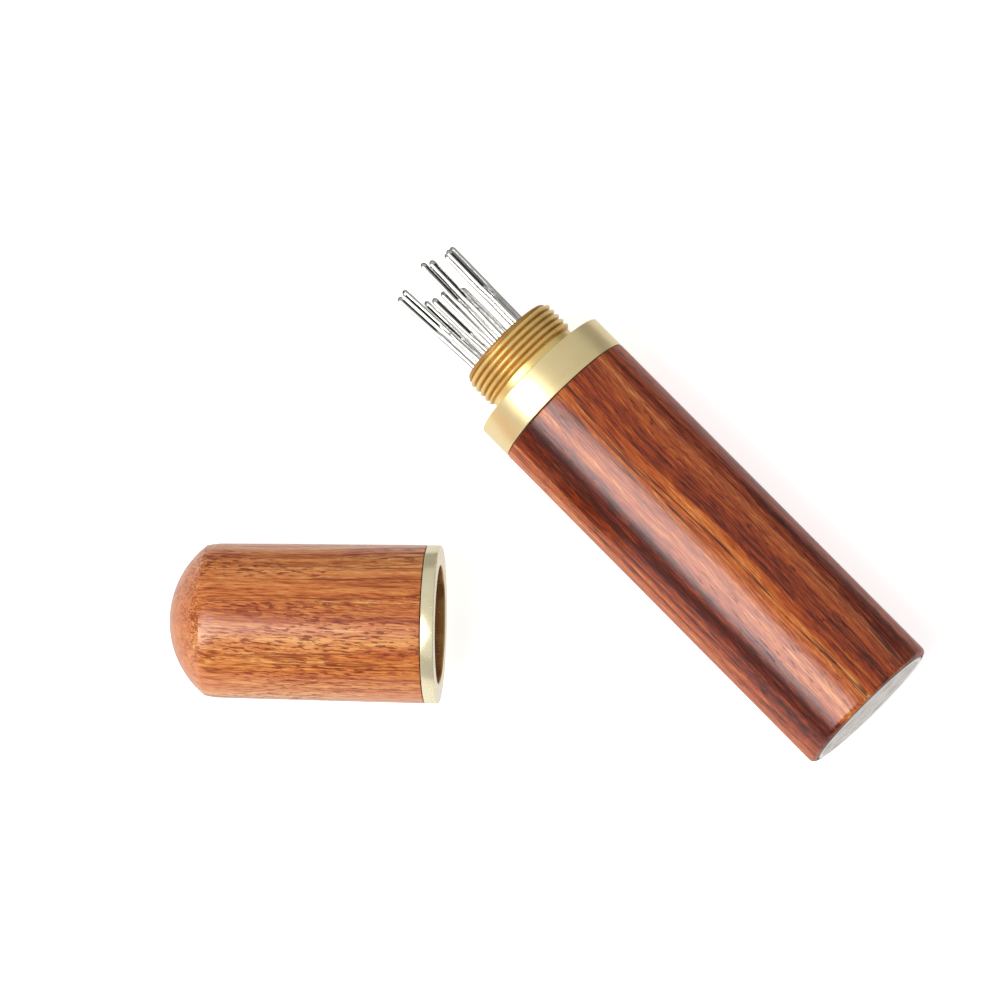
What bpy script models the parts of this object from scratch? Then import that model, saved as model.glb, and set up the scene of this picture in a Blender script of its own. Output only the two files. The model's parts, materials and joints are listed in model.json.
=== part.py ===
"""A turned wooden needle case with a screw cap, lying open beside its cap with the needles drawn out.

The case lies along X with its mouth toward +X. Both pieces rest on the plane z = 0, and the world origin is
on that plane, under the middle of the whole layout. Lengths in the constants are millimetres.
"""

import math

import bmesh
import bpy
from mathutils import Vector

MM = 0.001

# outside of the case and the cap
CASE_RADIUS = 9.0
WOOD_LENGTH = 49.3  # wooden tube, from the base to the collar
COLLAR_LENGTH = 4.2
NECK_LENGTH = 5.5
CAP_LENGTH = 30.85
CAP_CROWN_RADIUS = 8.8  # the cap narrows a little towards its dome
DOME_SPHERE_RADIUS = 10.9
DOME_RADIUS = 8.55  # where the dome meets the rounded shoulder
DOME_CREASE = 24.0  # degrees that the outline turns by there
BASE_EDGE_ROUND = 0.6

# how the pieces fit into each other
GLUE_GAP = 0.1
BORE_RADIUS = 5.5
FITTING_SPIGOT_RADIUS = 6.5
FITTING_SPIGOT_LENGTH = 8.0
DISC_RADIUS = 8.2
DISC_THICKNESS = 1.6
DISC_PROUD = 0.1
BAND_LENGTH = 1.5  # the cap ring's visible band
RING_SPIGOT_RADIUS = 7.3
RING_LENGTH = 7.5
CAP_CAVITY_RADIUS = 6.0
CAP_CAVITY_DEPTH = 26.0
CHAMFER = 0.15

# the screw thread, right handed
PITCH = 0.75
THREAD_DEPTH = 0.43
NECK_ROOT_RADIUS = 5.95
THREAD_CLEARANCE = 0.25
NECK_RELIEF = 1.2  # plain length between the shoulder and the thread
RING_COUNTERBORE = 1.4
RING_COUNTERBORE_RADIUS = 6.75
RING_THREAD_LENGTH = 5.0
ROWS_PER_PITCH = 8
TURN_STEPS = 48

# needles: full thickness, point at the far end
NEEDLE_LENGTH = 40.0
NEEDLE_RADIUS = 0.38
NEEDLE_SIDES = 12
EYE_HALF_WIDTH = 0.43
EYE_FLATTENING = 0.75
EYE_SLOT_WIDTH = 0.24
EYE_SLOT_LENGTH = 5.2
EYE_SLOT_START = 0.7  # from the head

# Each needle crosses the mouth at (y, z) off the case's axis, leans by an angle in the XY plane and
# stands out of the mouth by a length. The first three are parallel to the axis.
NEEDLES = [
    # y, z, lean in degrees, length standing out, roll about its own axis in degrees
    (0.20, -4.72, 0.0, 13.0, 32),
    (-0.75, -4.75, 0.0, 8.6, -35),
    (1.15, -4.65, 0.0, 9.9, 38),
    (-0.40, -3.72, 0.0, 11.8, 80),
    (3.45, -1.70, 3.0, 12.7, -30),
    (4.35, -1.70, 3.0, 12.5, 34),
    (2.05, -3.62, 1.5, 9.9, 30),
    (2.95, -3.62, 1.5, 10.3, -36),
    (-0.05, -2.72, -1.2, 13.1, 28),
    (0.85, -2.72, -1.2, 13.6, 36),
    (-2.95, -3.74, -0.6, 12.7, -33),
    (-2.05, -3.74, -0.6, 12.6, 31),
    (-2.45, -2.74, -0.6, 12.6, 27),
]

# where the pieces lie
CASE_BASE = Vector((-36.25, -21.89, CASE_RADIUS))  # centre of the case's base
CAP_MOUTH = Vector((41.1, 28.0, 0.0))  # centre of the cap's mouth, from the case's base
CAP_ANGLE = 44.1  # degrees from the case's axis to the cap's

SHOULDER = WOOD_LENGTH + COLLAR_LENGTH
MOUTH = SHOULDER + NECK_LENGTH


def clear_scene():
    for obj in list(bpy.data.objects):
        bpy.data.objects.remove(obj, do_unlink=True)


def collection(name, hidden=False):
    made = bpy.data.collections.new(name)
    made.hide_render = hidden
    bpy.context.scene.collection.children.link(made)
    return made


def material(name, color, roughness, metallic=0.0):
    made = bpy.data.materials.new(name)
    made.use_nodes = True
    shader = made.node_tree.nodes["Principled BSDF"]
    shader.inputs["Base Color"].default_value = (*color, 1.0)
    shader.inputs["Roughness"].default_value = roughness
    shader.inputs["Metallic"].default_value = metallic
    return made


def axis_empty(name, place, angle, group):
    """An empty whose X axis is the turning axis of the pieces under it."""
    empty = bpy.data.objects.new(name, None)
    empty.location = place * MM
    empty.rotation_euler = (0.0, 0.0, math.radians(angle))
    group.objects.link(empty)
    return empty


def arc(center_x, center_r, radius, start, end, steps):
    """Points on an arc in the (x, r) plane; angles in degrees, measured from +x towards +r."""
    angles = [math.radians(start + (end - start) * i / steps) for i in range(steps + 1)]
    return [(center_x + radius * math.cos(a), center_r + radius * math.sin(a)) for a in angles]


def turned(name, profile, closed, paint, group, steps=TURN_STEPS):
    """A piece turned about its X axis from (x, r) points, listed so that x falls along the outside."""
    points = [(x * MM, r * MM, 0.0) for x, r in profile]
    edges = [(i, i + 1) for i in range(len(points) - 1)]
    if closed:
        edges.append((len(points) - 1, 0))
    mesh = bpy.data.meshes.new(name)
    mesh.from_pydata(points, edges, [])
    mesh.materials.append(paint)
    obj = bpy.data.objects.new(name, mesh)
    group.objects.link(obj)
    screw = obj.modifiers.new("turn", "SCREW")
    screw.axis = "X"
    screw.steps = steps
    screw.render_steps = steps
    screw.use_merge_vertices = True
    screw.merge_threshold = 1e-6
    return obj


def bake(obj):
    """Replaces an object's mesh by what its modifiers make of it."""
    graph = bpy.context.evaluated_depsgraph_get()
    mesh = bpy.data.meshes.new_from_object(obj.evaluated_get(graph))
    mesh.name = obj.name
    obj.modifiers.clear()
    obj.data = mesh


def smooth(obj, angle=35):
    obj.data.shade_smooth()
    obj.data.set_sharp_from_angle(angle=math.radians(angle))


def thread_rows(start, end, radius):
    """Evenly spaced profile points for a stretch that will carry a thread."""
    count = round((end - start) / PITCH * ROWS_PER_PITCH)
    return [(start + (end - start) * i / count, radius) for i in range(count + 1)]


def cut_thread(obj, start, end, base_radius, inward, zero):
    """Moves the rows between start and end to a right-handed thread that fades out at both ends.

    A ridge of the neck passes +Y at x = zero. The ring's groove has the same phase, so the two mesh.
    """
    bake(obj)
    for vertex in obj.data.vertices:
        x, y, z = vertex.co / MM
        radius = math.hypot(y, z)
        if abs(radius - base_radius) > 1e-3 or not start < x < end:
            continue
        wave = 0.5 + 0.5 * math.cos(math.atan2(z, y) - 2 * math.pi * (x - zero) / PITCH)
        fade = min(1.0, (x - start) / (0.6 * PITCH), (end - x) / (0.6 * PITCH))
        rise = -THREAD_DEPTH * (1 - wave) if inward else THREAD_DEPTH * wave
        scale = 1 + fade * rise / radius
        vertex.co.y *= scale
        vertex.co.z *= scale


def make_case_body(paint, group):
    recess = DISC_RADIUS + GLUE_GAP
    counterbore = FITTING_SPIGOT_RADIUS + GLUE_GAP
    seat = WOOD_LENGTH - FITTING_SPIGOT_LENGTH - GLUE_GAP
    floor = DISC_THICKNESS - DISC_PROUD + GLUE_GAP
    round_center = CASE_RADIUS - BASE_EDGE_ROUND
    profile = [(WOOD_LENGTH, CASE_RADIUS)]
    profile += arc(BASE_EDGE_ROUND, round_center, BASE_EDGE_ROUND, 90, 180, 5)
    profile += [(0.0, recess), (floor, recess), (floor, BORE_RADIUS), (seat, BORE_RADIUS)]
    profile += [(seat, counterbore), (WOOD_LENGTH, counterbore)]
    return turned("case_body", profile, True, paint, group)


def make_base_disc(paint, group):
    inner = DISC_THICKNESS - DISC_PROUD
    profile = [(inner, 0.0), (inner, DISC_RADIUS), (CHAMFER - DISC_PROUD, DISC_RADIUS)]
    profile += [(-DISC_PROUD, DISC_RADIUS - CHAMFER), (-DISC_PROUD, 0.0)]
    return turned("base_disc", profile, False, paint, group)


def make_mouth_fitting(paint, group):
    collar_back = WOOD_LENGTH + GLUE_GAP
    thread_start = SHOULDER + NECK_RELIEF
    thread_end = MOUTH - CHAMFER
    profile = [(MOUTH, BORE_RADIUS), (MOUTH, NECK_ROOT_RADIUS - CHAMFER)]
    profile += reversed(thread_rows(thread_start, thread_end, NECK_ROOT_RADIUS))
    profile += [(SHOULDER, NECK_ROOT_RADIUS), (SHOULDER, CASE_RADIUS - CHAMFER)]
    profile += [(SHOULDER - CHAMFER, CASE_RADIUS), (collar_back + CHAMFER, CASE_RADIUS)]
    profile += [(collar_back, CASE_RADIUS - CHAMFER), (collar_back, FITTING_SPIGOT_RADIUS)]
    profile += [(collar_back - FITTING_SPIGOT_LENGTH, FITTING_SPIGOT_RADIUS)]
    profile += [(collar_back - FITTING_SPIGOT_LENGTH, BORE_RADIUS)]
    obj = turned("mouth_fitting", profile, True, paint, group)
    cut_thread(obj, thread_start, thread_end, NECK_ROOT_RADIUS, inward=False, zero=SHOULDER)
    return obj


def make_cap_ring(paint, group):
    major = NECK_ROOT_RADIUS + THREAD_DEPTH + THREAD_CLEARANCE
    thread_start = RING_COUNTERBORE + CHAMFER
    thread_end = thread_start + RING_THREAD_LENGTH
    profile = [(RING_LENGTH, major), (RING_LENGTH, RING_SPIGOT_RADIUS), (BAND_LENGTH, RING_SPIGOT_RADIUS)]
    profile += [(BAND_LENGTH, CASE_RADIUS), (CHAMFER, CASE_RADIUS), (0.0, CASE_RADIUS - CHAMFER)]
    profile += [(0.0, RING_COUNTERBORE_RADIUS + CHAMFER), (CHAMFER, RING_COUNTERBORE_RADIUS)]
    profile += [(RING_COUNTERBORE, RING_COUNTERBORE_RADIUS)]
    profile += thread_rows(thread_start, thread_end, major)
    obj = turned("cap_ring", profile, True, paint, group)
    cut_thread(obj, thread_start, thread_end, major, inward=True, zero=0.0)
    return obj


def make_cap_shell(paint, group):
    back = BAND_LENGTH + GLUE_GAP
    socket = RING_SPIGOT_RADIUS + GLUE_GAP
    seat = RING_LENGTH + GLUE_GAP
    dome_angle = math.degrees(math.asin(DOME_RADIUS / DOME_SPHERE_RADIUS))
    start = dome_angle + DOME_CREASE
    shoulder = (CAP_CROWN_RADIUS - DOME_RADIUS) / (1 - math.sin(math.radians(start)))
    dome_end = CAP_LENGTH - DOME_SPHERE_RADIUS * (1 - math.cos(math.radians(dome_angle)))
    shoulder_x = dome_end - shoulder * math.cos(math.radians(start))
    floor = CAP_CAVITY_DEPTH - CAP_CAVITY_RADIUS / 2
    profile = arc(CAP_LENGTH - DOME_SPHERE_RADIUS, 0.0, DOME_SPHERE_RADIUS, 0, dome_angle, 8)
    profile += arc(shoulder_x, CAP_CROWN_RADIUS - shoulder, shoulder, start, 90, 6)[1:]
    profile += [(back, CASE_RADIUS), (back, socket), (seat, socket), (seat, CAP_CAVITY_RADIUS)]
    profile += [(floor, CAP_CAVITY_RADIUS), (CAP_CAVITY_DEPTH, 0.0)]
    return turned("cap_shell", profile, False, paint, group)


def make_eye_cutter(group):
    """A slot with round ends, longer than the needle is thick."""
    bm = bmesh.new()
    half = EYE_SLOT_WIDTH / 2 * MM
    bmesh.ops.create_cone(
        bm, cap_ends=True, segments=12, radius1=half, radius2=half, depth=4 * NEEDLE_RADIUS * MM
    )
    far_end = -(EYE_SLOT_START + EYE_SLOT_LENGTH) * MM + half
    near_end = -EYE_SLOT_START * MM - half
    for vertex in bm.verts:
        vertex.co.x += near_end if vertex.co.x > 0 else far_end
    mesh = bpy.data.meshes.new("eye_cutter")
    bm.to_mesh(mesh)
    bm.free()
    cutter = bpy.data.objects.new("eye_cutter", mesh)
    cutter.display_type = "WIRE"
    cutter.hide_render = True
    group.objects.link(cutter)
    return cutter


def make_needle_mesh(paint, group, cutter):
    """One needle along X: its head at x = 0, its point at x = -NEEDLE_LENGTH, its eye open along Z."""
    end = NEEDLE_LENGTH
    thick = NEEDLE_RADIUS
    profile = [(0.0, 0.0), (-0.12, 0.6 * EYE_HALF_WIDTH), (-0.5, EYE_HALF_WIDTH)]
    profile += [(-5.4, EYE_HALF_WIDTH), (-7.0, thick), (7.0 - end, thick), (4.5 - end, 0.8 * thick)]
    profile += [(2.0 - end, 0.45 * thick), (0.4 - end, 0.15 * thick), (-end, 0.0)]
    obj = turned("needle", profile, False, paint, group, NEEDLE_SIDES)
    bake(obj)
    for vertex in obj.data.vertices:
        if vertex.co.x > -6.0 * MM:
            vertex.co.z *= EYE_FLATTENING
    slot = obj.modifiers.new("eye", "BOOLEAN")
    slot.operation = "DIFFERENCE"
    slot.solver = "EXACT"
    slot.object = cutter
    bake(obj)
    smooth(obj)
    mesh = obj.data
    bpy.data.objects.remove(obj)
    return mesh


def place_needles(mesh, parent, group):
    for number, (y, z, lean, out, roll) in enumerate(NEEDLES, 1):
        angle = math.radians(lean)
        obj = bpy.data.objects.new(f"needle_{number:02d}", mesh)
        head = Vector((MOUTH + out * math.cos(angle), y + out * math.sin(angle), z))
        obj.location = head * MM
        obj.rotation_euler = (math.radians(roll), 0.0, angle)
        obj.parent = parent
        group.objects.link(obj)


def main():
    clear_scene()
    pieces = collection("needle_case")
    cutters = collection("cutters", hidden=True)
    dark_wood = material("case_wood", (0.22, 0.06, 0.022), 0.35)
    light_wood = material("cap_wood", (0.45, 0.17, 0.06), 0.4)
    brass = material("brass", (0.80, 0.62, 0.28), 0.28, 1.0)
    plate = material("plate_metal", (0.62, 0.60, 0.57), 0.35, 1.0)
    steel = material("needle_steel", (0.72, 0.71, 0.69), 0.15, 1.0)

    case_axis = axis_empty("case_axis", CASE_BASE, 0.0, pieces)
    cap_axis = axis_empty("cap_axis", CASE_BASE + CAP_MOUTH, CAP_ANGLE, pieces)
    case_parts = [
        make_case_body(dark_wood, pieces),
        make_base_disc(plate, pieces),
        make_mouth_fitting(brass, pieces),
    ]
    cap_parts = [make_cap_ring(brass, pieces), make_cap_shell(light_wood, pieces)]
    for axis, parts in ((case_axis, case_parts), (cap_axis, cap_parts)):
        for obj in parts:
            obj.parent = axis
            smooth(obj)
    needle = make_needle_mesh(steel, pieces, make_eye_cutter(cutters))
    place_needles(needle, case_axis, pieces)


main()
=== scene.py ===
import json
import math

import bmesh
import bpy
import numpy as np
from mathutils import Matrix, Vector


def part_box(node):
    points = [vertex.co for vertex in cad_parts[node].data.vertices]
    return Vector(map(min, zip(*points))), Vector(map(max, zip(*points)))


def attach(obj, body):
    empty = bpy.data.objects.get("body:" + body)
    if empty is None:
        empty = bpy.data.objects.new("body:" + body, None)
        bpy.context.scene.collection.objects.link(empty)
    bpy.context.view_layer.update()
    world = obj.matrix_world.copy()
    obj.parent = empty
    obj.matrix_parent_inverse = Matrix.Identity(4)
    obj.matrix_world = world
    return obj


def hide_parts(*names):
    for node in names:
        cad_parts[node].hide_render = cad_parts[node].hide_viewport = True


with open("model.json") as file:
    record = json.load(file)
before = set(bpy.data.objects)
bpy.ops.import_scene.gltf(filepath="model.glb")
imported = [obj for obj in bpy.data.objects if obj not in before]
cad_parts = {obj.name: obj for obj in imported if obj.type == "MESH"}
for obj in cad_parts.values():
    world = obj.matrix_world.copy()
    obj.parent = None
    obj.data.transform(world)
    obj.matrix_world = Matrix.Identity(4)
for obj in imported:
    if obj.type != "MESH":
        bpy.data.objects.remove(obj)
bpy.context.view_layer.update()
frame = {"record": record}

mm = 0.001


# every piece is made along X from the end of its own wood, then carried to where the frame has it
def placeOf(node):
    # The middle of the low end of a node's box.
    low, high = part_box(node)
    middle = (Vector(low) + Vector(high)) / 2
    return Matrix.Translation((low[0], middle.y, middle.z))


def capPlace(capAngle):
    # The cap's mouth edge is the circle that sets the low corner of the ring's box, so the mouth's centre
    # is one radius off that corner along the circle's own plane.
    low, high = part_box("cap_ring")
    radius = (high[2] - low[2]) / 2 - capRing["edge"] * mm
    centre = Vector((low[0] + radius * math.sin(capAngle), low[1] + radius * math.cos(capAngle)))
    return Matrix.Translation((*centre, (low[2] + high[2]) / 2)) @ Matrix.Rotation(capAngle, 4, "Z")


def roundedOutline(corners, steps=6):
    # An outline is a row of (x, r) points in millimetres, and each corner is (x, r, rounding). A rounding
    # replaces the corner by an arc that touches both sides: its ends lie rounding / tan(half the angle) from
    # the corner, and its centre rounding / sin(half the angle).
    points = []
    for i, (x, r, rounding) in enumerate(corners):
        if rounding == 0:
            points.append([[x, r]])
            continue
        here = np.array([x, r])
        before = np.array(corners[i - 1][:2]) - here
        after = np.array(corners[(i + 1) % len(corners)][:2]) - here
        before = before / np.linalg.norm(before)
        after = after / np.linalg.norm(after)
        half = math.acos(np.clip(before @ after, -1, 1)) / 2
        centre = here + (before + after) / np.linalg.norm(before + after) * rounding / math.sin(half)
        start = here + before * rounding / math.tan(half) - centre
        end = here + after * rounding / math.tan(half) - centre
        sweep = math.atan2(start[0] * end[1] - start[1] * end[0], start @ end)
        turn = sweep * np.linspace(0, 1, steps + 1)[:, None]
        across = np.array([-start[1], start[0]])
        points.append(centre + np.cos(turn) * start + np.sin(turn) * across)
    return np.vstack(points)


def arcPoints(centreX, radius, start, end, steps):
    # A circle about (centreX, 0), from one angle to another in degrees from +x.
    turn = np.radians(np.linspace(start, end, steps + 1))
    return np.stack([centreX + radius * np.cos(turn), radius * np.sin(turn)], 1)


def straightRun(fromX, toX, radius, step):
    # Evenly spaced points at one radius.
    xs = np.linspace(fromX, toX, max(2, round(abs(toX - fromX) / step) + 1))
    return np.stack([xs, np.full_like(xs, radius)], 1)


def smoothStep(value, low, high):
    # 0 at low and 1 at high, with t x t x (3 - 2t) between them.
    t = np.clip((value - low) / (high - low), 0, 1)
    return t * t * (3 - 2 * t)


def gridMesh(name, grids, place, sharpAngle=32, fixNormals=False):
    # Every grid is rows by columns by xyz in millimetres. Neighbouring points make quads, and points within
    # 0.0002 mm of each other, at seams and poles, are merged.
    vertices, quads, count = [], [], 0
    for points in grids:
        rows, columns = points.shape[:2]
        index = np.arange(rows * columns).reshape(rows, columns) + count
        corners = (index[:-1, :-1], index[1:, :-1], index[1:, 1:], index[:-1, 1:])
        quads.append(np.stack(corners, -1).reshape(-1, 4))
        vertices.append(points.reshape(-1, 3) * mm)
        count += rows * columns
    turn = np.array(place)
    vertices = np.vstack(vertices) @ turn[:3, :3].T + turn[:3, 3]
    mesh = bpy.data.meshes.new(name)
    mesh.from_pydata(vertices, [], np.vstack(quads))
    bm = bmesh.new()
    bm.from_mesh(mesh)
    bmesh.ops.remove_doubles(bm, verts=bm.verts, dist=2e-7)
    bmesh.ops.dissolve_degenerate(bm, edges=bm.edges, dist=1e-8)
    if fixNormals:
        bmesh.ops.recalc_face_normals(bm, faces=bm.faces)
    bm.to_mesh(mesh)
    bm.free()
    mesh.shade_smooth()
    mesh.set_sharp_from_angle(angle=math.radians(sharpAngle))
    piece = bpy.data.objects.new(name, mesh)
    bpy.context.scene.collection.objects.link(piece)
    return piece


def turnedGrid(outline, around, radiusAt=None):
    # The outline (x, r) swept round X: (x, r cos a, r sin a). radiusAt may change r by x and a.
    angle = np.linspace(0, 2 * np.pi, around + 1)
    x = np.repeat(outline[:, :1], around + 1, 1)
    r = np.repeat(outline[:, 1:], around + 1, 1)
    if radiusAt is not None:
        r = radiusAt(x, r, angle[None, :])
    return np.stack([x, r * np.cos(angle), r * np.sin(angle)], -1)


thread = {
    "pitch": 0.75,
    "depth": 0.43,
    "fade": 0.5,  # the stretch at each end over which the ridges rise
    "fullness": 0.7,  # under 1, the male ridges are wider than their grooves
    "rowStep": 0.035,  # between rows of points along the axis
}


def threadRadius(start, end, zero, radius, inward):
    # A right-handed thread: wave = (1 + cos(a - 2 pi (x - zero) / pitch)) / 2. A male thread adds depth times
    # wave to the power of its fullness, a female one takes off depth x (1 - wave), and both fade at the ends.
    def radiusAt(x, r, angle):
        wave = 0.5 + 0.5 * np.cos(angle - 2 * np.pi * (x - zero) / thread["pitch"])
        level = smoothStep(np.minimum(x - start, end - x), 0, thread["fade"])
        rise = -thread["depth"] * (1 - wave) if inward else thread["depth"] * wave ** thread["fullness"]
        onThread = (np.abs(r - radius) < 1e-3) & (x > start) & (x < end)
        return r + np.where(onThread, level * rise, 0)
    return radiusAt


class Wire:
    # One output of a node. Sums, products and powers of wires and numbers add Math nodes.
    def __init__(self, tree, socket):
        self.tree = tree
        self.socket = socket

    def make(self, kind, settings=None, inputs=None, output=0):
        return makeNode(self.tree, kind, settings, inputs, output)

    def maths(self, operation, *values):
        return self.make("ShaderNodeMath", {"operation": operation}, dict(enumerate(values)))

    def __add__(self, other):
        return self.maths("ADD", self, other)

    def __sub__(self, other):
        return self.maths("SUBTRACT", self, other)

    def __rsub__(self, other):
        return self.maths("SUBTRACT", other, self)

    def __mul__(self, other):
        return self.maths("MULTIPLY", self, other)

    def __truediv__(self, other):
        return self.maths("DIVIDE", self, other)

    def __pow__(self, other):
        return self.maths("POWER", self, other)

    __radd__ = __add__
    __rmul__ = __mul__

    def ramp(self, low, high):
        # 0 at low, 1 at high, smooth between them. Low may be the larger.
        first, last = (0.0, 1.0) if low < high else (1.0, 0.0)
        settings = {"interpolation_type": "SMOOTHSTEP"}
        limits = {"From Min": min(low, high), "From Max": max(low, high), "To Min": first, "To Max": last}
        return self.make("ShaderNodeMapRange", settings, {"Value": self, **limits})


def makeNode(tree, kind, settings=None, inputs=None, output=0):
    # Settings come first, because some of them change which sockets a node has.
    node = tree.nodes.new(kind)
    for key, value in (settings or {}).items():
        if key == "stops":
            stops = node.color_ramp.elements
            while len(stops) < len(value):
                stops.new(0.5)
            for stop, (position, color) in zip(stops, value):
                stop.position = position
                stop.color = (*color, 1)
        else:
            setattr(node, key, value)
    for key, value in (inputs or {}).items():
        if isinstance(value, Wire):
            tree.links.new(value.socket, node.inputs[key])
        else:
            node.inputs[key].default_value = value
    return Wire(tree, node.outputs[output])


def startMaterial(name, **constants):
    # A new material with constants on its shader's own sockets, an underscore for each space of their names.
    material = bpy.data.materials.new(name)
    material.use_nodes = True
    shader = material.node_tree.nodes["Principled BSDF"]
    for key, value in constants.items():
        shader.inputs[key.replace("_", " ")].default_value = value
    return material


def feed(material, **wires):
    # Joins wires to a material's shader.
    shader = material.node_tree.nodes["Principled BSDF"]
    for key, wire in wires.items():
        material.node_tree.links.new(wire.socket, shader.inputs[key.replace("_", " ")])


def localPoint(tree, place):
    # The point in millimetres along and across a piece's own axis.
    where = makeNode(tree, "ShaderNodeTexCoord", output="Object")
    inputs = {
        "Vector": where,
        "Location": place.translation,
        "Rotation": place.to_euler(),
        "Scale": (mm, mm, mm),
    }
    return where.make("ShaderNodeMapping", {"vector_type": "TEXTURE"}, inputs)


def coordinate(point, axis):
    # One of x, y and z by its number.
    return point.make("ShaderNodeSeparateXYZ", None, {0: point}, axis)


def moved(point, x=0.0, y=0.0, z=0.0):
    # The point with a step added to it.
    step = point.make("ShaderNodeCombineXYZ", None, {0: x, 1: y, 2: z})
    return point.make("ShaderNodeVectorMath", {"operation": "ADD"}, {0: point, 1: step})


def stretched(point, along, across, shift=0.0):
    # The point with its distances multiplied along the axis and across it.
    inputs = {0: point, 1: (along, across, across), 2: (shift, shift, shift)}
    return point.make("ShaderNodeVectorMath", {"operation": "MULTIPLY_ADD"}, inputs)


def noise(point, detail=3.0, roughness=0.5):
    # Cloudy values round 0.5, about one cloud to each unit of the point.
    inputs = {"Vector": point, "Scale": 1.0, "Detail": detail, "Roughness": roughness}
    return point.make("ShaderNodeTexNoise", None, inputs)


def bumped(height, strength, depth):
    # The normal of a height map, with its depth in millimetres.
    inputs = {"Strength": strength, "Distance": depth * mm, "Height": height}
    return height.make("ShaderNodeBump", None, inputs)


def mixed(amount, first, second):
    # The first colour turned into the second. A Mix node has its colours on inputs 6 and 7 and output 2.
    return amount.make("ShaderNodeMix", {"data_type": "RGBA"}, {0: amount, 6: first, 7: second}, 2)


def linear(red, green, blue):
    # A display colour of 0 to 255 as the linear colour that shaders take.
    values = np.array([red, green, blue]) / 255
    return (*np.where(values <= 0.04045, values / 12.92, ((values + 0.055) / 1.055) ** 2.4), 1.0)


# what both woods share. Scales are in cycles per millimetre, along the grain and then across it.
woodGrain = {
    "specular": 0.12,
    "coatIor": 1.52,
    "wander": (0.03, 0.05),
    "stray": (3.0, 2.0),  # how far the slow waves carry the grain off the axis, in millimetres
    "broadAlong": 0.008,
    "streakAlong": 0.03,
    "figureAndShadeBend": (0.06, 0.04),  # how far the waves and the streaks shift the figure, in turns
    "calmFade": 1.5,
    "veinAlong": 0.016,
    "veinAcross": 0.7,  # as a share of the streaks' scale
    "veinEdge": (0.003, 0.03),
    "veinTone": (0.62, 0.42),  # veins show where the broad noise is low
    "poreAcross": 4.4,
    "poreEdge": 0.07,
    "patch": (0.05, 0.3),
    "patchEdge": (0.34, 0.6),
    "boreEdge": 0.2,
    "roughBy": (0.25, 0.15, 0.3),  # by fibre, pores and bare wood
    "heightBy": (0.4, 0.15, 0.9, 0.2),  # by fibre, streaks, pores and veins
    "bump": 0.6,
    "bumpDepth": 0.03,
    "poreDulling": 0.5,
    "grazingEdge": (0.25, 0.8),
}

caseWoodLook = {
    "tones": [
        (0.0, linear(64, 17, 6)[:3]),
        (0.2, linear(110, 34, 8)[:3]),
        (0.45, linear(162, 64, 14)[:3]),
        (0.7, linear(198, 100, 32)[:3]),
        (1.0, linear(236, 162, 88)[:3]),
    ],
    "pore": linear(54, 17, 10),
    "raw": linear(110, 62, 34),
    # how light the wood is round the axis, from -180 degrees through 0 on top to 180, by place and tone:
    # partly the wood's own bands and partly painted shade and light, darker down both sides and palest just
    # off the top
    "figureAndShade": [
        (0.0, 0.5), (0.14, 0.3), (0.25, 0.5), (0.335, 0.2), (0.385, 0.62), (0.44, 0.4), (0.482, 0.95),
        (0.512, 0.62), (0.55, 0.6), (0.594, 0.12), (0.64, 0.36), (0.69, 0.75), (0.78, 0.3), (0.88, 0.6),
        (1.0, 0.5),
    ],
    "figureAndShadeShare": 0.32,
    "broad": 0.2,  # cycles per millimetre across the grain
    "streak": 1.1,
    "fibre": 5.0,
    "fibreLength": 0.4,
    "shares": (0.34, 0.42, 0.4),
    "contrast": (0.36, 0.66),
    "veins": 0.85,
    "poreLength": 1.6,
    "poreShare": 0.6,
    "poreDepth": 0.65,
    "leaning": 0.07,
    "calm": 0.0,  # how far the end past calmStart goes towards its middle tone
    "calmStart": 60.0,
    "seed": 3.0,
    "roughness": 0.45,
    "coat": 1.0,
    "coatRoughness": 0.24,
    "grazing": 0.7,  # how much of its shine the lacquer loses at a shallow angle
    "insideRadius": 8.1,  # inside this radius and before this end the wood is bare
    "insideEnd": 80.0,
}

capWoodLook = {
    "tones": [
        (0.0, linear(124, 42, 18)[:3]),
        (0.25, linear(174, 80, 32)[:3]),
        (0.5, linear(206, 116, 54)[:3]),
        (0.75, linear(220, 138, 72)[:3]),
        (1.0, linear(236, 170, 100)[:3]),
    ],
    "pore": linear(122, 44, 22),
    "raw": linear(146, 94, 56),
    # the figure round the axis is partly the wood's own bands and partly painted shade and light
    "figureAndShade": [
        (0.0, 0.5), (0.15, 0.7), (0.28, 0.45), (0.36, 0.6), (0.42, 0.75), (0.48, 0.55), (0.515, 0.3),
        (0.55, 0.7), (0.6, 0.5), (0.68, 0.4), (0.8, 0.6), (1.0, 0.5),
    ],
    "figureAndShadeShare": 0.2,
    "broad": 0.2,
    "streak": 1.1,
    "fibre": 5.0,
    "fibreLength": 0.5,
    "shares": (0.2, 0.44, 0.4),
    "contrast": (0.37, 0.6),
    "veins": 0.75,
    "poreLength": 1.3,
    "poreShare": 0.53,
    "poreDepth": 0.8,
    "leaning": 0.05,
    "calm": 0.6,
    "calmStart": 27.0,
    "seed": 11.0,
    "roughness": 0.5,
    "coat": 1.0,
    "coatRoughness": 0.26,
    "grazing": 0.0,
    "insideRadius": 7.8,
    "insideEnd": 26.3,
}


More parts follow.
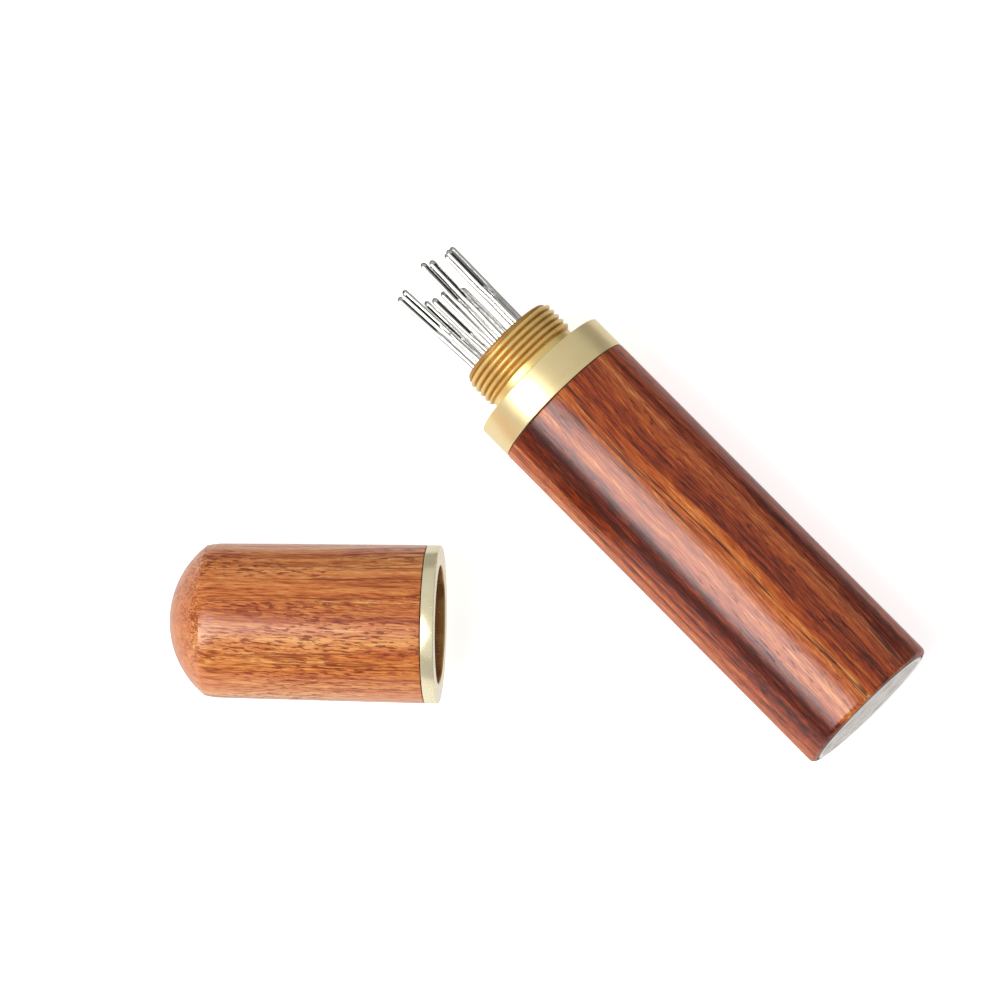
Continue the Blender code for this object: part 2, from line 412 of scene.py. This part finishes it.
def woodMaterial(name, place, look):
    # Tone is the sum of broad, streak and fibre noises by their shares, with the figure round the axis added,
    # which is partly painted shade and light.
    # It picks the colour, and veins, pores and the bores' raw wood are laid over that.
    material = startMaterial(
        name, Specular_IOR_Level=woodGrain["specular"], Coat_IOR=woodGrain["coatIor"],
        Coat_Roughness=look["coatRoughness"])
    point = localPoint(material.node_tree, place)
    x, y, z = (coordinate(point, axis) for axis in range(3))
    radius = (y * y + z * z) ** 0.5
    seed = look["seed"]
    # slow waves carry the grain a little off the axis, as in any sawn blank. Each noise has its own shift.
    wander = noise(stretched(point, *woodGrain["wander"], seed), detail=1.0) - 0.5
    bent = moved(point, y=wander * woodGrain["stray"][0], z=wander * woodGrain["stray"][1])
    leaned = moved(bent, y=x * look["leaning"])
    broad = noise(stretched(bent, woodGrain["broadAlong"], look["broad"], seed), detail=2.0)
    streaks = stretched(bent, woodGrain["streakAlong"], look["streak"], seed + 4)
    streaks = noise(streaks, detail=4.0, roughness=0.62)
    fibre = noise(stretched(leaned, look["fibreLength"], look["fibre"], seed + 8), detail=3.0, roughness=0.6)
    waveBend, streakBend = woodGrain["figureAndShadeBend"]
    bearing = y.maths("ARCTAN2", y, z) / (2 * math.pi) + 0.5
    bearing = bearing + wander * waveBend + (streaks - 0.5) * streakBend
    # the figure round the axis is partly the wood's own bands and partly painted shade and light
    stops = [(position, (level,) * 3) for position, level in look["figureAndShade"]]
    figureAndShade = bearing.make("ShaderNodeValToRGB", {"stops": stops}, {"Fac": bearing})
    broadShare, streakShare, fibreShare = look["shares"]
    tone = broad * broadShare + streaks * streakShare + fibre * fibreShare
    tone = tone + (figureAndShade - 0.5) * look["figureAndShadeShare"]
    darkest, palest = (limit * sum(look["shares"]) for limit in look["contrast"])
    tone = tone.make("ShaderNodeMapRange", None, {"Value": tone, "From Min": darkest, "From Max": palest})
    calm = x.ramp(look["calmStart"], look["calmStart"] + woodGrain["calmFade"]) * look["calm"]
    tone = tone + (0.5 - tone) * calm
    color = tone.make("ShaderNodeValToRGB", {"stops": look["tones"]}, {"Fac": tone})
    # thin dark veins lie where one slow noise crosses its middle value
    veins = stretched(bent, woodGrain["veinAlong"], look["streak"] * woodGrain["veinAcross"], seed + 12)
    veins = noise(veins, detail=3.0, roughness=0.6) - 0.5
    veinMask = 1.0 - veins.maths("ABSOLUTE", veins).ramp(*woodGrain["veinEdge"])
    veinMask = veinMask * broad.ramp(*woodGrain["veinTone"])
    pores = stretched(leaned, 1.0 / look["poreLength"], woodGrain["poreAcross"], seed + 16)
    pores = noise(pores, detail=2.0, roughness=0.55)
    patches = noise(stretched(point, *woodGrain["patch"], seed + 20), detail=1.0)
    poreMask = pores.ramp(look["poreShare"], look["poreShare"] + woodGrain["poreEdge"])
    poreMask = poreMask * patches.ramp(*woodGrain["patchEdge"]) * (1.0 - calm)
    color = mixed(veinMask * look["veins"], color, look["tones"][0][1] + (1.0,))
    color = mixed(poreMask * look["poreDepth"], color, look["pore"])
    # the bores are raw wood, with no polish
    bare = radius.ramp(look["insideRadius"] + woodGrain["boreEdge"], look["insideRadius"])
    bare = bare * x.ramp(look["insideEnd"] + woodGrain["boreEdge"], look["insideEnd"])
    color = mixed(bare, color, look["raw"])
    byFibre, byPore, byBare = woodGrain["roughBy"]
    rough = look["roughness"] + (fibre - 0.5) * byFibre + poreMask * byPore + bare * byBare
    byFibre, byStreak, byPore, byVein = woodGrain["heightBy"]
    height = fibre * byFibre + streaks * byStreak - poreMask * byPore - veinMask * byVein
    bump = bumped(height, woodGrain["bump"], woodGrain["bumpDepth"])
    # thin worn lacquer shines less at a shallow angle than a full coat would
    grazing = point.make("ShaderNodeLayerWeight", None, {"Blend": 0.5}, "Facing")
    grazing = grazing.ramp(*woodGrain["grazingEdge"])
    coat = (1.0 - bare) * (1.0 - poreMask * woodGrain["poreDulling"])
    coat = coat * (1.0 - grazing * look["grazing"]) * look["coat"]
    feed(material, Base_Color=color, Roughness=rough, Coat_Weight=coat, Normal=bump)
    return material


# what both brasses share. Scales are in cycles per millimetre.
brassMarks = {
    "specular": 0.3,
    "turned": 11.0,  # along the axis, for marks of size 1
    "turnedAround": 0.06,
    "cloud": 0.45,
    "speck": 3.0,
    "grooveEdge": 0.25,
    "innerEdge": 0.3,
    "wornSpecks": (0.66, 0.74),
    "wornClouds": (0.45, 0.8),
    "wornMarks": (0.6, 0.85),
    "wornShares": (0.35, 0.35, 0.3),  # by specks, clouds and marks
    "roughBy": 0.12,
    "speckRough": 0.1,
    "roughSpecks": (0.6, 0.75),
    "heightBy": (0.7, 0.3),  # by marks and specks
    "bumpDepth": 0.02,
}

satinBrass = {
    "metallic": 0.56,
    "outer": linear(252, 230, 174),
    "inner": linear(250, 222, 146),
    # painted shade for the thread's grooves, darker towards their roots
    "groove": linear(192, 138, 66),
    "worn": linear(226, 196, 140),
    "innerRadius": 7.2,  # millimetres, as the three under it
    "crest": 6.3,
    "root": 6.0,
    "plainEnd": 54.6,  # before this distance from the base the grooves' dark doesn't show
    "roughness": 0.33,
    "markSize": 1.0,
    "bump": 0.3,
}

brightBrass = {
    "metallic": 0.55,
    "outer": linear(253, 242, 204),
    "inner": linear(236, 200, 124),
    # painted shade for the female thread's grooves, darker towards their roots
    "groove": linear(160, 110, 50),
    "worn": linear(228, 204, 148),
    "innerRadius": 7.0,
    "crest": 6.3,
    "root": 6.6,
    "plainEnd": 0.0,
    "roughness": 0.22,
    "markSize": 0.8,
    "bump": 0.15,
}


def brassMaterial(name, place, look):
    # turning marks run round the axis, so they change quickly along x and slowly round the piece
    material = startMaterial(name, Metallic=look["metallic"], Specular_IOR_Level=brassMarks["specular"])
    point = localPoint(material.node_tree, place)
    x, y, z = (coordinate(point, axis) for axis in range(3))
    radius = (y * y + z * z) ** 0.5
    marks = stretched(point, brassMarks["turned"] / look["markSize"], brassMarks["turnedAround"])
    marks = noise(marks, detail=3.0, roughness=0.6)
    clouds = stretched(point, brassMarks["cloud"], brassMarks["cloud"], shift=2.0)
    clouds = noise(clouds, detail=4.0, roughness=0.6)
    specks = noise(stretched(point, brassMarks["speck"], brassMarks["speck"], shift=5.0), detail=2.0)
    # painted shade: the thread's grooves darken towards their roots, and the plain relief beside them doesn't
    grooveShade = radius.ramp(look["crest"], look["root"])
    grooveShade = grooveShade * x.ramp(look["plainEnd"], look["plainEnd"] + brassMarks["grooveEdge"])
    screw = mixed(grooveShade, look["inner"], look["groove"])
    inside = radius.ramp(look["innerRadius"], look["innerRadius"] - brassMarks["innerEdge"])
    color = mixed(inside, look["outer"], screw)
    bySpeck, byCloud, byMark = brassMarks["wornShares"]
    spots = specks.ramp(*brassMarks["wornSpecks"]) * bySpeck
    spots = spots + clouds.ramp(*brassMarks["wornClouds"]) * byCloud
    spots = spots + marks.ramp(*brassMarks["wornMarks"]) * byMark
    color = mixed(spots, color, look["worn"])
    rough = look["roughness"] + (marks - 0.5) * brassMarks["roughBy"] + (clouds - 0.5) * brassMarks["roughBy"]
    rough = rough + specks.ramp(*brassMarks["roughSpecks"]) * brassMarks["speckRough"]
    byMark, bySpeck = brassMarks["heightBy"]
    bump = bumped(marks * byMark + specks * bySpeck, look["bump"], brassMarks["bumpDepth"])
    feed(material, Base_Color=color, Roughness=rough, Normal=bump)
    return material


plateLook = {
    "metallic": 0.3,
    "specular": 0.4,
    "pale": linear(214, 206, 198),
    "dull": linear(178, 168, 160),
    # painted highlight: a pale ring just inside the disc's rounded edge
    "rimHighlight": linear(236, 230, 222),
    # painted shade on the disc's edge, where it meets the wood
    "gapShade": linear(120, 108, 98),
    "dullEdge": (0.38, 0.68),
    "rimEdge": (7.5, 7.65),  # radii in millimetres
    "gapEdge": (8.0, 8.1),
    "circles": 14.0,  # turning marks in each millimetre of radius
    "circleWaver": 0.15,
    "cloud": 0.4,
    "roughness": 0.32,
    "roughBy": (0.35, 0.15),  # by clouds and marks
    "bump": 0.3,
    "bumpDepth": 0.02,
}


def plateMaterial(name, place, look):
    # a faced disc: marks follow circles, so they change with the distance from the axis
    material = startMaterial(name, Metallic=look["metallic"], Specular_IOR_Level=look["specular"])
    point = localPoint(material.node_tree, place)
    y, z = (coordinate(point, axis) for axis in (1, 2))
    radius = (y * y + z * z) ** 0.5
    circle = point.make("ShaderNodeCombineXYZ", None, {
        0: radius * look["circles"], 1: y * look["circleWaver"], 2: z * look["circleWaver"]})
    marks = noise(circle, detail=3.0, roughness=0.6)
    clouds = noise(stretched(point, look["cloud"], look["cloud"], shift=6.0), detail=5.0, roughness=0.62)
    color = mixed(clouds.ramp(*look["dullEdge"]), look["pale"], look["dull"])
    # painted highlight in a ring near the edge
    color = mixed(radius.ramp(*look["rimEdge"]), color, look["rimHighlight"])
    # painted shade at the outer edge
    color = mixed(radius.ramp(*look["gapEdge"]), color, look["gapShade"])
    byCloud, byMark = look["roughBy"]
    rough = look["roughness"] + (clouds - 0.5) * byCloud + (marks - 0.5) * byMark
    bump = bumped(marks, look["bump"], look["bumpDepth"])
    feed(material, Base_Color=color, Roughness=rough, Normal=bump)
    return material


steelLook = {
    "bright": linear(242, 241, 238),
    "film": linear(206, 200, 192),
    # painted shade for the eye's walls and the run-out groove
    "eye": linear(38, 31, 27),
    "filmEdge": (0.45, 0.8),
    "drawn": (0.4, 14.0),  # cycles per millimetre along the needle and across it
    "filmScale": (0.5, 2.0),
    "roughness": 0.12,
    "drawnRough": 0.2,
    "eyeRough": 0.5,
    "eyeDulling": 0.8,
    "wallEdge": (0.03, 0.01),  # how far past the slot's own walls the dark reaches
    "wallEnd": 0.15,  # and past its ends
    "grooveEdge": (0.11, 0.03),  # half widths at which the run-out's dark starts and is full
    "grooveEnds": (0.4, 0.3),
    "grooveDark": 0.85,
    "bump": 0.2,
    "bumpDepth": 0.01,
}


def steelMaterial(name, place, look):
    # drawn wire polished along its length, plated; the walls of the eye and its run-out are dull, and painted
    # shade darkens them
    material = startMaterial(name)
    point = localPoint(material.node_tree, place)
    x, y = (coordinate(point, axis) for axis in (0, 1))
    off = y.maths("ABSOLUTE", y)
    start, end = -needle["slotStart"], -needle["slotEnd"]
    eye = off.ramp(*(needle["slotHalf"] + edge for edge in look["wallEdge"]))
    eye = eye * x.ramp(end - look["wallEnd"], end) * x.ramp(start + look["wallEnd"], start)
    start, end = -needle["grooveStart"], -needle["grooveEnd"]
    groove = off.ramp(*look["grooveEdge"]) * x.ramp(end, end + look["grooveEnds"][0])
    groove = groove * x.ramp(start, start - look["grooveEnds"][1])
    # painted shade in the eye's slot and in the run-out groove
    dark = eye.maths("MAXIMUM", eye, groove * look["grooveDark"])
    drawn = noise(stretched(point, *look["drawn"]), detail=2.0)
    film = noise(stretched(point, *look["filmScale"], shift=8.0), detail=2.0)
    color = mixed(film.ramp(*look["filmEdge"]), look["bright"], look["film"])
    color = mixed(dark, color, look["eye"])
    rough = look["roughness"] + (drawn - 0.4) * look["drawnRough"] + dark * look["eyeRough"]
    bump = bumped(drawn, look["bump"], look["bumpDepth"])
    feed(material, Base_Color=color, Roughness=rough, Metallic=1.0 - dark * look["eyeDulling"], Normal=bump)
    return material


def dress(piece, material, body, node):
    # Gives a piece its material and the body it moves with, and hides the node it stands for.
    piece.data.materials.append(material)
    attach(piece, body)
    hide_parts(node)


smoothness = {"around": 192}  # points round each turned piece

caseWood = {"length": 49.3, "radius": 9.0, "bore": 5.5, "recess": 8.3, "recessDepth": 1.6}
caseWood.update({"spigotSeat": 6.6, "spigotDepth": 8.1, "baseRound": 0.6, "mouthRound": 0.12})


def makeCaseWood(place):
    # A tube's wall turned round X, with a recess for the disc at one end and a wider seat for the fitting's
    # spigot at the other.
    size = caseWood
    corners = [
        (size["length"], size["radius"], size["mouthRound"]),
        (0.0, size["radius"], size["baseRound"]),
        (0.0, size["recess"], 0.04),
        (size["recessDepth"], size["recess"], 0.0),
        (size["recessDepth"], size["bore"], 0.0),
        (size["length"] - size["spigotDepth"], size["bore"], 0.0),
        (size["length"] - size["spigotDepth"], size["spigotSeat"], 0.0),
        (size["length"], size["spigotSeat"], 0.0),
    ]
    outline = roundedOutline(corners)
    outline = np.vstack([outline, outline[:1]])
    return gridMesh("caseWood", [turnedGrid(outline, smoothness["around"])], place)


baseDisc = {"radius": 8.2, "thickness": 1.6, "proud": 0.1, "edge": 0.18}


def makeBaseDisc(place):
    # A round plate turned round X, from its hidden face to the one that stands a little proud of the wood.
    size = baseDisc
    inner = size["thickness"] - size["proud"]
    corners = [(inner, 0.0, 0.0), (inner, size["radius"], 0.05)]
    corners += [(-size["proud"], size["radius"], size["edge"]), (-size["proud"], 0.0, 0.0)]
    return gridMesh("baseDisc", [turnedGrid(roundedOutline(corners), smoothness["around"])], place)


mouthFitting = {"collarBack": 49.4, "collarFront": 53.5, "mouth": 59.0, "radius": 9.0, "edge": 0.12}
mouthFitting.update({"root": 5.95, "bore": 5.5, "relief": 1.2, "lead": 0.15, "lip": 0.1})
mouthFitting.update({"spigot": 6.5, "spigotLength": 8.0})


def makeMouthFitting(place):
    # A tube's wall turned round X: from the mouth the threaded neck, a plain relief, the collar and the
    # spigot, then back along the bore. Only the neck's rows take the thread's wave.
    size = mouthFitting
    start = size["collarFront"] + size["relief"]
    end = size["mouth"] - size["lead"]
    back = size["collarBack"] - size["spigotLength"]
    neck = np.array([
        (size["mouth"] - size["lip"], size["bore"]),
        (size["mouth"], size["bore"] + 0.08),
        (size["mouth"], size["root"] - size["lead"]),
    ])
    ridges = straightRun(end, start, size["root"], thread["rowStep"])
    rest = roundedOutline([
        (start, size["root"], 0.0),
        (size["collarFront"], size["root"], 0.1),
        (size["collarFront"], size["radius"], size["edge"]),
        (size["collarBack"], size["radius"], size["edge"]),
        (size["collarBack"], size["spigot"], 0.0),
        (back, size["spigot"], 0.0),
        (back, size["bore"], 0.0),
        (size["mouth"] - size["lip"], size["bore"], 0.0),
    ], 4)[1:]
    radiusAt = threadRadius(start, end, size["collarFront"], size["root"], inward=False)
    grid = turnedGrid(np.vstack([neck, ridges, rest]), smoothness["around"], radiusAt)
    return gridMesh("mouthFitting", [grid], place)


capRing = {"edge": 0.15, "radius": 9.0, "band": 1.5, "length": 7.5, "spigot": 7.3, "major": 6.63}
capRing.update({"counterbore": 6.75, "counterboreDepth": 1.4, "threadLength": 5.0})


def makeCapRing(place):
    # A ring's wall turned round X: the glued spigot, the band that shows and its counterbore, then back along
    # the female thread, whose rows take the thread's wave inwards.
    size = capRing
    start = size["counterboreDepth"] + size["edge"]
    end = start + size["threadLength"]
    outside = roundedOutline([
        (size["length"], size["major"], 0.0),
        (size["length"], size["spigot"], 0.1),
        (size["band"], size["spigot"], 0.0),
        (size["band"], size["radius"], 0.08),
        (0.0, size["radius"], size["edge"]),
        (0.0, size["counterbore"], size["edge"]),
        (size["counterboreDepth"], size["counterbore"], 0.0),
        (start, size["major"], 0.0),
    ], 4)
    ridges = straightRun(start, end, size["major"], thread["rowStep"])[1:]
    radiusAt = threadRadius(start, end, 0.0, size["major"], inward=True)
    outline = np.vstack([outside, ridges, outside[:1]])
    return gridMesh("capRing", [turnedGrid(outline, smoothness["around"], radiusAt)], place)


capWood = {"back": 1.6, "length": 30.85, "mouthRadius": 9.0, "crownRadius": 8.8, "socket": 7.4}
capWood.update({"seat": 7.6, "cavity": 6.0, "cavityDepth": 26.0})
capWood.update({"domeSphere": 10.9, "domeRadius": 8.55, "crease": 24.0})


def makeCapWood(place):
    # A hollow cap turned round X. The dome is part of a sphere out to domeRadius, where a crease starts the
    # shoulder: an arc that ends level with the side, so its bend is the height left over 1 - sin(start).
    # The side widens to the mouth, and a stepped socket leads into the cavity.
    size = capWood
    domeAngle = math.degrees(math.asin(size["domeRadius"] / size["domeSphere"]))
    dome = arcPoints(size["length"] - size["domeSphere"], size["domeSphere"], 0, domeAngle, 40)
    start = math.radians(domeAngle + size["crease"])
    bend = (size["crownRadius"] - size["domeRadius"]) / (1 - math.sin(start))
    turn = np.linspace(start, np.pi / 2, 13)[1:]
    centreX = dome[-1, 0] - bend * math.cos(start)
    shoulder = np.stack([centreX + bend * np.cos(turn), size["crownRadius"] - bend * (1 - np.sin(turn))], 1)
    inside = roundedOutline([
        (shoulder[-1, 0], shoulder[-1, 1], 0.0),
        (size["back"], size["mouthRadius"], 0.1),
        (size["back"], size["socket"], 0.0),
        (size["seat"], size["socket"], 0.0),
        (size["seat"], size["cavity"], 0.0),
        (size["cavityDepth"] - size["cavity"] / 2, size["cavity"], 1.5),
        (size["cavityDepth"], 0.0, 0.0),
    ])[1:]
    outline = np.vstack([dome, shoulder, inside])
    return gridMesh("capWood", [turnedGrid(outline, smoothness["around"])], place, sharpAngle=18)


needle = {"length": 40.0, "radius": 0.38, "eyeWidth": 0.43, "eyeHeight": 0.3, "head": 0.5, "taper": 7.0}
needle.update({"eyeEnd": 5.4, "shaftStart": 7.6, "slotHalf": 0.12, "slotStart": 0.7, "slotEnd": 5.9})
needle.update({"grooveStart": 6.2, "grooveEnd": 8.3, "grooveDepth": 0.4, "grooveWidth": 0.09})
needle.update({"grooveRise": 0.4, "grooveFall": 0.8, "pointFullness": 1.8, "pointSpacing": 1.3})
needle.update({"headRows": 9, "slotRows": 33, "blendRows": 26, "shaftRows": 6, "pointRows": 14})
needle.update({"halfColumns": 17, "wallColumns": 5})
needle["roll"] = (32, -35, 38, 80, -30, 34, 30, -36, 28, 36, -33, 31, 27)  # degrees, needle 1 to 13


def needleGrids():
    # The needle runs from its head at s = 0 to its point. Its section is an ellipse of half axes a and b,
    # cut through the middle by a slot of half width w, which closes in a half circle at both ends. Each
    # half outside goes round from the slot's top edge to its bottom edge, and a wall joins the two.
    size = needle
    slotLength = size["slotEnd"] - size["slotStart"]
    ends = 0.5 - 0.5 * np.cos(np.linspace(0, np.pi, size["slotRows"]))
    slotRows = size["slotStart"] + slotLength * ends
    head = size["head"] * (1 - np.cos(np.linspace(0, np.pi / 2, size["headRows"]))) * 0.999
    blendEnd = size["grooveEnd"] + 0.1
    blend = np.linspace(size["slotEnd"], blendEnd, size["blendRows"])[1:]
    shaft = np.linspace(blendEnd, size["length"] - size["taper"], size["shaftRows"])[1:]
    point = np.linspace(1, 0, size["pointRows"])[1:] ** size["pointSpacing"]
    point = size["length"] - size["taper"] * point
    s = np.concatenate([head, slotRows, blend, shaft, point])
    toShaft = smoothStep(s, size["eyeEnd"], size["shaftStart"])
    rounding = np.sqrt(np.clip(1 - (1 - np.clip(s / size["head"], 0, 1)) ** 2, 0, 1))
    left = np.clip((size["length"] - s) / size["taper"], 0, 1)
    thin = (1 - (1 - left) ** size["pointFullness"]) * rounding
    a = (size["eyeWidth"] + (size["radius"] - size["eyeWidth"]) * toShaft) * thin
    b = (size["eyeHeight"] + (size["radius"] - size["eyeHeight"]) * toShaft) * thin
    fromEnd = np.minimum(s - size["slotStart"], size["slotEnd"] - s)
    depth = np.clip(1 - fromEnd / size["slotHalf"], 0, 1)
    w = size["slotHalf"] * np.sqrt(np.clip(1 - depth ** 2, 0, 1)) * (fromEnd > 1e-9)
    first = np.arcsin(np.clip(w / np.maximum(a, 1e-9), 0, 1))
    along = 0.5 - 0.5 * np.cos(np.linspace(0, np.pi, size["halfColumns"]))
    turn = first[:, None] + (np.pi - 2 * first[:, None]) * along
    y, z = a[:, None] * np.sin(turn), b[:, None] * np.cos(turn)
    # past the eye a shallow groove runs out: z is less by the share depth x exp(-(y / width)^2)
    groove = smoothStep(s, size["grooveStart"], size["grooveStart"] + size["grooveRise"])
    groove = groove * smoothStep(s, size["grooveEnd"], size["grooveEnd"] - size["grooveFall"])
    groove = groove * size["grooveDepth"]
    z = z * (1 - groove[:, None] * np.exp(-(y / size["grooveWidth"]) ** 2))
    outside = np.stack([np.repeat(-s[:, None], len(along), 1), y, z], -1)
    rows = (s >= size["slotStart"] - 1e-9) & (s <= size["slotEnd"] + 1e-9)
    top = (b * np.cos(first))[rows]
    down = np.linspace(1, -1, size["wallColumns"])
    shape = (rows.sum(), size["wallColumns"])
    wall = np.stack([
        np.broadcast_to(-s[rows][:, None], shape),
        np.broadcast_to(w[rows][:, None], shape),
        top[:, None] * down,
    ], -1)
    mirror = np.array([1, -1, 1])
    return [outside, outside * mirror, wall, wall * mirror]


def makeNeedle(number, grids):
    # The head's end is half a length from the middle of the node's box, along the needle's slide. The three
    # lowest needles have no slide of their own and lie along X.
    node = f"needle_{number:02d}"
    low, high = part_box(node)
    joints = frame["record"]["behaviour"]["joints"]
    joint = next((j for j in joints if j["name"] == node + "_slide"), None)
    towards = -Vector(joint["axis"]) if joint else Vector((1, 0, 0))
    headEnd = (Vector(low) + Vector(high)) / 2 + towards * needle["length"] / 2 * mm
    place = Matrix.Translation(headEnd) @ Matrix.Rotation(math.atan2(towards.y, towards.x), 4, "Z")
    place = place @ Matrix.Rotation(math.radians(needle["roll"][number - 1]), 4, "X")
    piece = gridMesh(f"needle{number:02d}", grids, place, 40, fixNormals=True)
    dress(piece, steelMaterial(f"needleSteel{number:02d}", place, steelLook), node, node)


studio = {
    "lean": 7.44,  # degrees off the vertical, towards the case's base
    "aside": 0.98,  # and towards the cap's side
    "turn": 225.115,  # degrees from +X to the picture's right
    "target": (10.199, -8.689, 9.0),  # millimetres, as the two under it
    "width": 113.67,
    "distance": 1158.2,
    "floor": (0.86, 0.86, 0.86),
    "floorGlow": 0.7,
    "floorRoughness": 0.9,
    "floorSpecular": 0.1,
    "floorReach": 4000.0,
    "floorDrop": 0.05,  # how far the floor lies under the pieces
    "tilt": 21.0,  # how far the dark band of the room leans, in degrees
    "below": 0.8,  # brightness under the band, in it and over it
    "band": 0.05,
    "above": 0.42,
    "lowEdge": (-0.26, -0.36),
    "highEdge": (0.26, 0.36),
}

keyLight = {
    "towards": (0.11, 0.56, 0.83),  # from the origin
    "distance": 0.9,  # metres, as the two sizes
    "width": 0.5,
    "height": 0.78,
    "brightness": 6.0,
}


def makeCamera():
    # The camera looks back along a line that leans off the vertical, and its lens makes a width at the target
    # fill the picture: focal length = sensor width x distance / width.
    lean, aside, turn = (math.radians(studio[key]) for key in ("lean", "aside", "turn"))
    back = Vector((-math.tan(lean), math.tan(aside), 1.0)).normalized()
    right = Vector((math.cos(turn), math.sin(turn), 0.0))
    right = (right - back * right.dot(back)).normalized()
    up = back.cross(right)
    data = bpy.data.cameras.new("camera")
    data.lens = data.sensor_width * studio["distance"] / studio["width"]
    data.clip_start, data.clip_end = 0.01, 10.0
    camera = bpy.data.objects.new("camera", data)
    rotation = Matrix((right, up, back)).transposed().to_4x4()
    eyePoint = (Vector(studio["target"]) + back * studio["distance"]) * mm
    camera.matrix_world = Matrix.Translation(eyePoint) @ rotation
    bpy.context.scene.collection.objects.link(camera)
    bpy.context.scene.camera = camera


def makeFloor():
    # A flat sheet of paper under the pieces. It glows a little, and reflections don't show it.
    reach, height = studio["floorReach"], -studio["floorDrop"]
    corners = np.array([[(x, y, height) for y in (-reach, reach)] for x in (reach, -reach)])
    floor = gridMesh("floor", [corners], Matrix())
    floor.data.materials.append(startMaterial(
        "floorPaper",
        Base_Color=(*studio["floor"], 1.0),
        Roughness=studio["floorRoughness"],
        Specular_IOR_Level=studio["floorSpecular"],
        Emission_Color=(*[studio["floorGlow"]] * 3, 1.0),
        Emission_Strength=1.0))
    floor.visible_glossy = False


def makeKeyLight():
    # One soft panel of a given brightness: a rectangle's power is brightness x pi x its area.
    width, height = keyLight["width"], keyLight["height"]
    data = bpy.data.lights.new("key", "AREA")
    data.shape = "RECTANGLE"
    data.size, data.size_y = width, height
    data.energy = keyLight["brightness"] * math.pi * width * height
    lamp = bpy.data.objects.new("key", data)
    direction = Vector(keyLight["towards"]).normalized()
    turn = direction.to_track_quat("Z", "Y").to_matrix().to_4x4()
    lamp.matrix_world = Matrix.Translation(direction * keyLight["distance"]) @ turn
    lamp.visible_camera = False
    bpy.context.scene.collection.objects.link(lamp)


def makeRoom():
    # The room's brightness goes by a direction's part along a tilted upright: a dark band lies where that
    # part is near 0, and the room is paler below and above it.
    world = bpy.data.worlds.new("studio")
    world.use_nodes = True
    tree = world.node_tree
    tilt = math.radians(studio["tilt"])
    direction = makeNode(tree, "ShaderNodeTexCoord")
    inputs = {0: direction, 1: (0.0, -math.sin(tilt), math.cos(tilt))}
    upright = direction.make("ShaderNodeVectorMath", {"operation": "DOT_PRODUCT"}, inputs, "Value")
    low = upright.ramp(*studio["lowEdge"]) * (studio["below"] - studio["band"])
    high = upright.ramp(*studio["highEdge"]) * (studio["above"] - studio["band"])
    room = low + high + studio["band"]
    background = tree.nodes["Background"]
    tree.links.new(room.socket, background.inputs["Strength"])
    background.inputs["Color"].default_value = (1.0, 1.0, 1.0, 1.0)
    bpy.context.scene.world = world
    bpy.context.scene.view_settings.view_transform = "Standard"


def main():
    # the case swings in line with the cap at the top of its range, so that is the cap's own angle
    swing = next(j for j in frame["record"]["behaviour"]["joints"] if j["name"] == "case_swing")
    casePlace = placeOf("case_body")
    capAt = capPlace(math.radians(swing["range_deg"][1]))
    print("wood")
    caseSkin = woodMaterial("caseRosewood", casePlace, caseWoodLook)
    capSkin = woodMaterial("capRosewood", capAt, capWoodLook)
    dress(makeCaseWood(casePlace), caseSkin, "case", "case_body")
    dress(makeCapWood(capAt), capSkin, "cap", "cap_shell")
    print("brass and base")
    collarSkin = brassMaterial("satinBrass", casePlace, satinBrass)
    ringSkin = brassMaterial("brightBrass", capAt, brightBrass)
    dress(makeMouthFitting(casePlace), collarSkin, "case", "mouth_fitting")
    dress(makeCapRing(capAt), ringSkin, "cap", "cap_ring")
    discSkin = plateMaterial("facedSteel", casePlace, plateLook)
    dress(makeBaseDisc(casePlace), discSkin, "case", "base_disc")
    print("needles")
    grids = needleGrids()  # one shape for all, in millimetres from the head
    for number in range(1, len(needle["roll"]) + 1):
        makeNeedle(number, grids)
    print("studio")
    makeFloor()
    makeKeyLight()
    makeRoom()
    makeCamera()


main()
